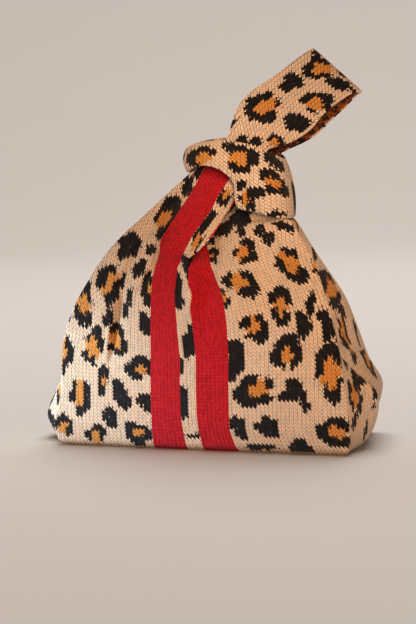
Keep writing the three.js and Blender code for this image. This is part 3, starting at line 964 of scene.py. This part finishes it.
def linear(code):
    """A colour's linear values from its sRGB hex code."""
    parts = (int(code[i : i + 2], 16) / 255 for i in (0, 2, 4))
    return tuple(v / 12.92 if v <= 0.04045 else ((v + 0.055) / 1.055) ** 2.4 for v in parts)


def new_material(name):
    """An empty material, and the function that adds a node to it."""
    material = bpy.data.materials.new(name)
    material.use_nodes = True
    tree = material.node_tree
    tree.nodes.clear()

    def node(kind, inputs=(), operation=None, out=0, **settings):
        """Adds a node with its settings and links or values, and returns one of its outputs."""
        made = tree.nodes.new("ShaderNode" + kind)
        if operation:
            made.operation = operation
        for name, value in settings.items():
            setattr(made, name, value)
        for name, value in inputs.items() if isinstance(inputs, dict) else enumerate(inputs):
            if isinstance(value, bpy.types.NodeSocket):
                tree.links.new(value, made.inputs[name])
            elif made.inputs[name].type == "RGBA":
                made.inputs[name].default_value = (*value, 1)
            else:
                made.inputs[name].default_value = value
        return made.outputs[out] if len(made.outputs) else made

    return material, node


# A mix of colours takes its share at input 0 and the two colours at inputs 6 and 7
RGBA = {"out": 2, "data_type": "RGBA"}
FLAT = {"out": "Value", "noise_dimensions": "2D"}

# Double jacquard of cotton yarn: matt, its face all small V-shaped stitches in columns, so that
# every edge of a colour is a row of teeth. Each stitch takes the light a little differently.
# Real columns lie 1.9 mm apart, too fine to show in the render, so the stitches are drawn about
# twice as coarse, as wide and high as here in millimetres, and the fuzz as specks.
STITCH_WIDTH = 3.7
STITCH_HEIGHT = 3.2
# How many rows a V rises to its sides, and in columns how far its legs lean over how many rows and
# how far they lie from its middle
STITCH_RISE = 0.9
LEG_SLANT = 0.4
ROWS_A_TOOTH = 1
LEG_MIDDLE = 0.25
# How far in millimetres a spot's edge goes up and down from a few rows of a column to the next few,
# and in and out from leg to leg, and how far a stripe's edge leans with the legs
FINGER = 1.8
ROWS_A_FINGER = 3
TEETH = 0.1
STRIPE_TEETH = 0.8
# How wide the tanned patches of the ground and the yarn's fuzz are and how high a stitch stands, in
# millimetres, and what share of that height lies between its legs and in the fuzz
BLOTCH = 55.5
FUZZ = 1.11
RELIEF = 0.8
LEG_DEPTH = 0.4
FUZZ_DEPTH = 0.35
YARN_IOR = 1.5
YARN_ROUGHNESS = 0.92
YARN_SHINE = 0.2
YARN_SHEEN = 0.06
SHEEN_ROUGHNESS = 0.5
# Painted light on the stitches: the colour is multiplied by painted shade between them, warmed by the
# yarn round it, and by a painted highlight on top of them. Which one it gets depends on how high each
# part of a stitch stands and, at a share, on its chance
STITCH_PAINTED_SHADE = (0.28, 0.2, 0.15)
STITCH_PAINTED_HIGHLIGHT = (1.46, 1.43, 1.39)
STITCH_CHANCE = 0.32


def jacquard_face(name, cloth, striped):
    """The knit's face, each leg of a stitch in one yarn, chosen by the chart at the stitch's middle."""
    material, node = new_material(name)
    width, height = cloth.stitch_width / MM, cloth.stitch_height / MM
    place = node("Attribute", attribute_name="fabric", out="Vector")
    across = node("SeparateXYZ", [place], out="X")
    up = node("SeparateXYZ", [place], out="Y")

    level = node("Math", [up, height], "DIVIDE")
    slant = node("Math", [level, ROWS_A_TOOTH], "FLOORED_MODULO")
    slant = node("Math", [slant, LEG_SLANT / ROWS_A_TOOTH, -LEG_SLANT / 2], "MULTIPLY_ADD")
    columns = node("Math", [across, width], "DIVIDE")
    columns = node("Math", [columns, slant], "ADD")
    column = node("Math", [columns], "FLOOR")
    in_column = node("Math", [columns], "FRACT")
    centred = node("Math", [in_column, 0.5], "SUBTRACT")
    aside = node("Math", [centred], "ABSOLUTE")
    rows = node("Math", [aside, -2 * STITCH_RISE, level], "MULTIPLY_ADD")
    row = node("Math", [rows], "FLOOR")
    in_row = node("Math", [rows], "FRACT")

    block = node("Math", [row, 1 / ROWS_A_FINGER], "MULTIPLY")
    block = node("Math", [block], "FLOOR")
    finger = node("CombineXYZ", [column, block, 0.0])
    finger = node("TexWhiteNoise", [finger], **FLAT)
    finger = node("Math", [finger, FINGER, -FINGER / 2], "MULTIPLY_ADD")
    middle = node("Math", [column, width, width / 2], "MULTIPLY_ADD")
    to_middle = node("Math", [middle, across], "SUBTRACT")
    level = node("Math", [row, height, height * (1 + STITCH_RISE) / 2], "MULTIPLY_ADD")
    to_level = node("Math", [level, up], "SUBTRACT")
    to_level = node("Math", [to_level, finger], "ADD")
    step = node("CombineXYZ", [1.0, to_middle, to_level])

    leg = node("Math", [centred], "SIGN")
    leg = node("Math", [leg, LEG_MIDDLE, column], "MULTIPLY_ADD")
    leg = node("CombineXYZ", [leg, row, 0.0])
    chance = node("TexWhiteNoise", [leg], **FLAT)
    tooth = node("Math", [chance, TEETH, -TEETH / 2], "MULTIPLY_ADD")
    shares = {}
    for field in ("dark", "ochre"):
        value = node("Attribute", attribute_name=field, out="Vector")
        value = node("VectorMath", [value, step], "DOT_PRODUCT", out="Value")
        value = node("Math", [value, tooth], "ADD")
        shares[field] = node("Math", [value, 0.0], "GREATER_THAN")

    legs = node("Math", [aside, 2 * math.pi], "MULTIPLY")
    legs = node("Math", [legs], "SINE")
    ridges = node("Math", [in_row, math.pi], "MULTIPLY")
    ridges = node("Math", [ridges], "SINE")
    legs = node("Math", [legs, LEG_DEPTH, 1 - LEG_DEPTH], "MULTIPLY_ADD")
    relief = node("Math", [legs, ridges], "MULTIPLY")

    spot = node("TexCoord", out="Object")
    blotch = {"Vector": spot, "Scale": 1 / (BLOTCH * MM), "Detail": 3}
    slow = node("TexNoise", blotch, out="Fac")
    fuzz = {"Vector": spot, "Scale": 1 / (FUZZ * MM), "Detail": 2}
    fibre = node("TexNoise", fuzz, out="Fac")
    tanned = node("Math", [slow, chance], "MULTIPLY")
    yarns = {
        "ground": (tanned, cloth.cream, cloth.sand),
        "ochre": (chance, cloth.ochre, cloth.ochre_deep),
        "black": (chance, cloth.black, cloth.black_lit),
        "red": (chance, cloth.crimson, cloth.crimson_deep),
    }
    yarn = {}
    for each, (share, one, other) in yarns.items():
        yarn[each] = node("Mix", {0: share, 6: tuple(one), 7: tuple(other)}, **RGBA)
    colour = node("Mix", {0: shares["ochre"], 6: yarn["ground"], 7: yarn["ochre"]}, **RGBA)
    if striped:
        lap = node("Math", [slant, STRIPE_TEETH, across], "MULTIPLY_ADD")
        lap = node("Math", [lap, float(CHART)], "FLOORED_MODULO")
        half = STRIPE / 2
        for centre in (half, half + STRIPE + STRIPE_GAP):
            red = node("Math", [lap, centre, half], "COMPARE")
            colour = node("Mix", {0: red, 6: colour, 7: yarn["red"]}, **RGBA)
            clear = node("Math", [1.0, red], "SUBTRACT")
            shares["dark"] = node("Math", [shares["dark"], clear], "MULTIPLY")
    colour = node("Mix", {0: shares["dark"], 6: colour, 7: yarn["black"]}, **RGBA)
    # Painted shade in the hollows between the legs and rows, and painted highlight on their crowns
    lit = node("Math", [chance, STITCH_CHANCE], "MULTIPLY")
    lit = node("Math", [relief, 1 - STITCH_CHANCE, lit], "MULTIPLY_ADD")
    shade = node("Mix", {0: lit, 6: STITCH_PAINTED_SHADE, 7: STITCH_PAINTED_HIGHLIGHT}, **RGBA)
    colour = node("Mix", {0: 1.0, 6: colour, 7: shade}, **RGBA, blend_type="MULTIPLY")

    raised = node("Math", [fibre, FUZZ_DEPTH, relief], "MULTIPLY_ADD")
    bump = {"Strength": 1, "Distance": RELIEF * MM, "Height": raised}
    finish_yarn(node, colour, node("Bump", bump))
    return material


def finish_yarn(node, colour, normal):
    settings = {
        "Base Color": colour,
        "Normal": normal,
        "Roughness": YARN_ROUGHNESS,
        "IOR": YARN_IOR,
        "Specular IOR Level": YARN_SHINE,
        "Sheen Weight": YARN_SHEEN,
        "Sheen Roughness": SHEEN_ROUGHNESS,
    }
    surface = node("BsdfPrincipled", settings)
    node("OutputMaterial", {"Surface": surface})


# The reverse's specks: their size, what share of them is black, how ochre the others get at most,
# and how far and how sharply they stand out
SPECK = (2.4, 1.6)
BLACK_SPECKS = 0.3
OCHRE_SPECKS = 0.25
SPECK_RELIEF = 0.5
SPECK_EDGE = 0.6


def jacquard_reverse(name, cloth):
    """The reverse of the same knit: specks of every yarn by turns, which look brown from afar."""
    material, node = new_material(name)
    place = node("Attribute", attribute_name="fabric", out="Vector")
    finer = (1 / SPECK[0], 1 / SPECK[1], 1)
    specks = node("VectorMath", [place, finer], "MULTIPLY")
    speck = node("VectorMath", [specks], "FLOOR")
    chance = node("TexWhiteNoise", [speck], **FLAT)
    share = node("MapRange", [chance, BLACK_SPECKS, 1.0, 0.0, OCHRE_SPECKS])
    colour = node("Mix", {0: share, 6: tuple(cloth.reverse), 7: tuple(cloth.ochre_deep)}, **RGBA)
    share = node("Math", [chance, BLACK_SPECKS], "LESS_THAN")
    colour = node("Mix", {0: share, 6: colour, 7: tuple(cloth.black_lit)}, **RGBA)
    bump = {"Strength": SPECK_EDGE, "Distance": SPECK_RELIEF * MM, "Height": chance}
    finish_yarn(node, colour, node("Bump", bump))
    return material


def measure(name, description, millimetres):
    return bpy.props.FloatProperty(
        name=name, description=description, default=millimetres * MM, unit="LENGTH"
    )


def tint(name, description, code):
    return bpy.props.FloatVectorProperty(
        name=name, description=description, size=3, subtype="COLOR", min=0, max=1, default=linear(code)
    )


def wattage(name, description, watts):
    return bpy.props.FloatProperty(name=name, description=description, default=watts, unit="POWER")


class KnotBagCloth(bpy.types.PropertyGroup):
    """The bag's cloth: how thick it is, how large its stitches are and its yarns' colours."""

    thickness: measure("Cloth", "Thickness of the double knit", CLOTH)
    band_thickness: measure("Short handle", "Thickness of the folded short handle", BAND_CLOTH)
    stitch_width: measure("Stitch width", "From one column of stitches to the next", STITCH_WIDTH)
    stitch_height: measure("Stitch height", "From one row of stitches to the next", STITCH_HEIGHT)
    cream: tint("Cream", "Yarn of the ground", "F8E6D4")
    sand: tint("Sand", "Darker shade of the ground", "E2B48A")
    ochre: tint("Ochre", "Yarn of the spots' middles", "F6B462")
    ochre_deep: tint("Deep ochre", "Darker shade of the spots' middles", "D6863A")
    black: tint("Black", "Yarn of the spots' rings", "0E0C0E")
    black_lit: tint("Worn black", "Lighter shade of the rings", "221D20")
    crimson: tint("Crimson", "Yarn of the stripes", "EE1A32")
    crimson_deep: tint("Deep crimson", "Darker shade of the stripes", "A80818")
    reverse: tint("Reverse", "Ground of the reverse", "6E3018")


class KnotBagStage(bpy.types.PropertyGroup):
    """The floor, the lights and the lens."""

    floor: tint("Floor", "Colour of the plain floor", "E9E8E6")
    lens: bpy.props.FloatProperty(
        name="Lens", description="Focal length of the camera", default=94.67, unit="CAMERA"
    )
    key: wattage("Main light", "From the left", 0.2)
    warm: wattage("Warm light", "From the right", 0.44)
    rim: wattage("High light", "On the knot from above", 0.035)
    overhead: wattage("Floor light", "On the floor alone", 90)


# Stretches of fabric that take strewn spots: a seed, columns from and to, rows from and to
FRONT_GROUND = (11, (-270, 330), (-80, 290))
BACK_GROUND = (12, (CHART - 130, CHART + 210), (-80, 290))
BAND_GROUND = (13, (-300, 20), (-10, 75))
HANDLE_GROUND = (14, (-40, 40), (-10, 340))


def knit(node_name, cloth, thickness, spots, striped):
    """Knits a piece in its two sides' materials, hangs it under the root body and hides the part of the
    frame that it stands for."""
    piece = cloth.build("knitted_" + node_name, thickness / MM, chart_of(spots))
    yarns = bpy.context.scene.knot_bag_cloth
    piece.data.materials.append(jacquard_face(piece.name + "_jacquard_knit", yarns, striped))
    piece.data.materials.append(jacquard_reverse(piece.name + "_knit_reverse", yarns))
    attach(piece, "root")
    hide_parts(node_name)


class KNOTBAG_OT_body(bpy.types.Operator):
    """Knit the soft body with its gussets, flat bottom and the straps that end in the knot"""

    bl_idname = "object.knot_bag_body"
    bl_label = "Bag body"

    def execute(self, context):
        thickness = context.scene.knot_bag_cloth.thickness
        strewn = (*scattered(*FRONT_GROUND, BODY_SPOTS), *scattered(*BACK_GROUND, ()))
        spots = (*BODY_SPOTS, *strewn, *LEFT_GUSSET_SPOTS)
        knit("body", body_cloth(), thickness, spots, True)
        return {"FINISHED"}


class KNOTBAG_OT_short_handle(bpy.types.Operator):
    """Knit the short handle that lies round both straps"""

    bl_idname = "object.knot_bag_short_handle"
    bl_label = "Short handle"

    def execute(self, context):
        thickness = context.scene.knot_bag_cloth.band_thickness
        spots = (*BAND_SPOTS, *scattered(*BAND_GROUND, BAND_SPOTS))
        knit("short_handle", band_cloth(), thickness, spots, False)
        return {"FINISHED"}


class KNOTBAG_OT_long_handle(bpy.types.Operator):
    """Knit the long handle that stands out of the knot"""

    bl_idname = "object.knot_bag_long_handle"
    bl_label = "Long handle"

    def execute(self, context):
        thickness = context.scene.knot_bag_cloth.thickness
        spots = (*HANDLE_SPOTS, *scattered(*HANDLE_GROUND, HANDLE_SPOTS))
        knit("long_handle", loop_cloth(), thickness, spots, False)
        return {"FINISHED"}


# The camera: where it stands in millimetres, where it looks, which way is right in its picture and
# how high its sensor is
CAMERA_PLACE = (505.7, -1388.7, 270.0)
CAMERA_LOOK = (-0.34607, 0.93248, -0.10349)
CAMERA_RIGHT = (0.93816, 0.34504, -0.02829)
SENSOR = 36

# The floor is a round sheet of paper that bends up to a wall all round: matt and pale, with a
# faint, slow change of tone
FLOOR_RADIUS = 2600
WALL_BEND = 1400
FLOOR_RINGS = 24
FLOOR_SECTORS = 96
TONE_WIDTH = 2667
TONE_SHADE = 0.96
PAPER_ROUGHNESS = 0.9

# The lamps: what sets a lamp's power, its name, where it stands and what it points at in
# millimetres, its diameter, its colour, how many degrees its light spreads and what it lights
LAMPS = (
    ("key", "main_light", (-600, -330, 290), (-120, -60, 52), 120, (0.66, 0.86, 1), 25, "bag"),
    ("warm", "warm_light", (350, -580, 380), (110, -40, 150), 240, (1, 0.6, 0.3), 70, "bag"),
    ("rim", "high_light", (10, -420, 660), (20, -20, 250), 120, (1, 0.8, 0.62), 26, "bag"),
    ("overhead", "floor_light", (-200, 1200, 3200), (-200, 1000, 0), 3000, (1, 0.97, 0.95), 180, "floor"),
)
# The warm light of the room all round
ROOM_COLOUR = (1, 0.58, 0.32, 1)
ROOM_STRENGTH = 0.18


def add_lamp(power, name, place, target, size, colour, spread, receivers):
    """Adds a round lamp that doesn't show itself and lights only what is in one collection."""
    light = bpy.data.lights.new(name, "AREA")
    light.shape = "DISK"
    light.size = size * MM
    light.energy = power
    light.color = colour
    light.spread = math.radians(spread)
    lamp = bpy.data.objects.new(name, light)
    lamp.location = Vector(place) * MM
    lamp.visible_camera = False
    lamp.rotation_euler = (Vector(target) - Vector(place)).to_track_quat("-Z", "Y").to_euler()
    lamp.light_linking.receiver_collection = receivers
    bpy.context.collection.objects.link(lamp)


def add_floor(colour):
    """Adds the floor as rings of faces round its middle, first level and then bent up."""
    turns = np.linspace(0, 2 * math.pi, FLOOR_SECTORS, endpoint=False)
    bends = np.linspace(0, math.pi / 2, FLOOR_RINGS)
    radii = np.concatenate([[0], FLOOR_RADIUS + WALL_BEND * np.sin(bends)])
    heights = np.concatenate([[0], WALL_BEND * (1 - np.cos(bends))])
    rings = [points(r * np.cos(turns), r * np.sin(turns), h) for r, h in zip(radii, heights)]
    place = np.arange(len(rings) * FLOOR_SECTORS).reshape(len(rings), -1)
    ahead = np.roll(place, -1, axis=1)
    quads = np.stack([place[:-1], place[1:], ahead[1:], ahead[:-1]], -1).reshape(-1, 4)
    mesh = bpy.data.meshes.new("studio_floor")
    mesh.from_pydata(np.concatenate(rings) * MM, [], quads.tolist())
    mesh.polygons.foreach_set("use_smooth", np.ones(len(quads), bool))
    material, node = new_material("matt_paper_floor")
    tones = 2 * (FLOOR_RADIUS + WALL_BEND) / TONE_WIDTH
    slow = node("TexNoise", {"Scale": tones, "Detail": 2}, out="Fac")
    shade = tuple(value * TONE_SHADE for value in colour)
    tone = node("Mix", {0: slow, 6: shade, 7: colour}, **RGBA)
    paper = {"Base Color": tone, "Roughness": PAPER_ROUGHNESS}
    surface = node("BsdfPrincipled", paper)
    node("OutputMaterial", {"Surface": surface})
    mesh.materials.append(material)
    floor = bpy.data.objects.new("studio_floor", mesh)
    bpy.context.collection.objects.link(floor)
    floor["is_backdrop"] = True
    return floor


class KNOTBAG_OT_stage(bpy.types.Operator):
    """Set out the pale floor that bends up all round, the soft lights and the camera"""

    bl_idname = "object.knot_bag_stage"
    bl_label = "Floor, lights and camera"

    def execute(self, context):
        stage, scene = context.scene.knot_bag_stage, context.scene
        pieces = [each for each in scene.objects if each.type == "MESH"]
        lit = {}
        for name, things in (("bag", pieces), ("floor", [add_floor(tuple(stage.floor))])):
            lit[name] = bpy.data.collections.new(name)
            for each in things:
                lit[name].objects.link(each)
        for power, *settings, lights in LAMPS:
            add_lamp(getattr(stage, power), *settings, lit[lights])
        scene.world = bpy.data.worlds.new("soft_room")
        scene.world.use_nodes = True
        room = scene.world.node_tree.nodes["Background"].inputs
        room["Color"].default_value = ROOM_COLOUR
        room["Strength"].default_value = ROOM_STRENGTH
        scene.view_settings.view_transform = "Standard"

        lens = bpy.data.cameras.new("camera")
        lens.sensor_fit = "VERTICAL"
        lens.sensor_height = SENSOR
        lens.lens = stage.lens
        camera = bpy.data.objects.new("camera", lens)
        look, right = Vector(CAMERA_LOOK).normalized(), Vector(CAMERA_RIGHT).normalized()
        axes = Matrix((right, right.cross(look), -look)).transposed().to_4x4()
        camera.matrix_world = Matrix.Translation(Vector(CAMERA_PLACE) * MM) @ axes
        context.collection.objects.link(camera)
        scene.camera = camera
        return {"FINISHED"}


class KNOTBAG_PT_panel(bpy.types.Panel):
    """Panel in the sidebar with the sizes, colours and pieces"""

    bl_idname = "KNOTBAG_PT_panel"
    bl_label = "Knitted knot bag"
    bl_space_type = "VIEW_3D"
    bl_region_type = "UI"
    bl_category = "Knot bag"

    def draw(self, context):
        for group in (context.scene.knot_bag_cloth, context.scene.knot_bag_stage):
            for name in group.bl_rna.properties.keys():
                if name not in ("rna_type", "name"):
                    self.layout.prop(group, name)
        for operator in OPERATORS:
            self.layout.operator(operator.bl_idname)


GROUPS = (KnotBagCloth, KnotBagStage)
OPERATORS = (KNOTBAG_OT_body, KNOTBAG_OT_short_handle, KNOTBAG_OT_long_handle, KNOTBAG_OT_stage)


def register():
    for each in (*GROUPS, *OPERATORS, KNOTBAG_PT_panel):
        bpy.utils.register_class(each)
    bpy.types.Scene.knot_bag_cloth = bpy.props.PointerProperty(type=KnotBagCloth)
    bpy.types.Scene.knot_bag_stage = bpy.props.PointerProperty(type=KnotBagStage)


def unregister():
    del bpy.types.Scene.knot_bag_cloth
    del bpy.types.Scene.knot_bag_stage
    for each in (KNOTBAG_PT_panel, *OPERATORS, *GROUPS):
        bpy.utils.unregister_class(each)


def main():
    register()
    bpy.ops.object.knot_bag_body()
    bpy.ops.object.knot_bag_short_handle()
    bpy.ops.object.knot_bag_long_handle()
    bpy.ops.object.knot_bag_stage()
    boxes = {"cad": FRAME_BOX, "visual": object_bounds()}
    lists = {name: [list(corner) for corner in box] for name, box in boxes.items()}


if __name__ == "__main__":
    main()
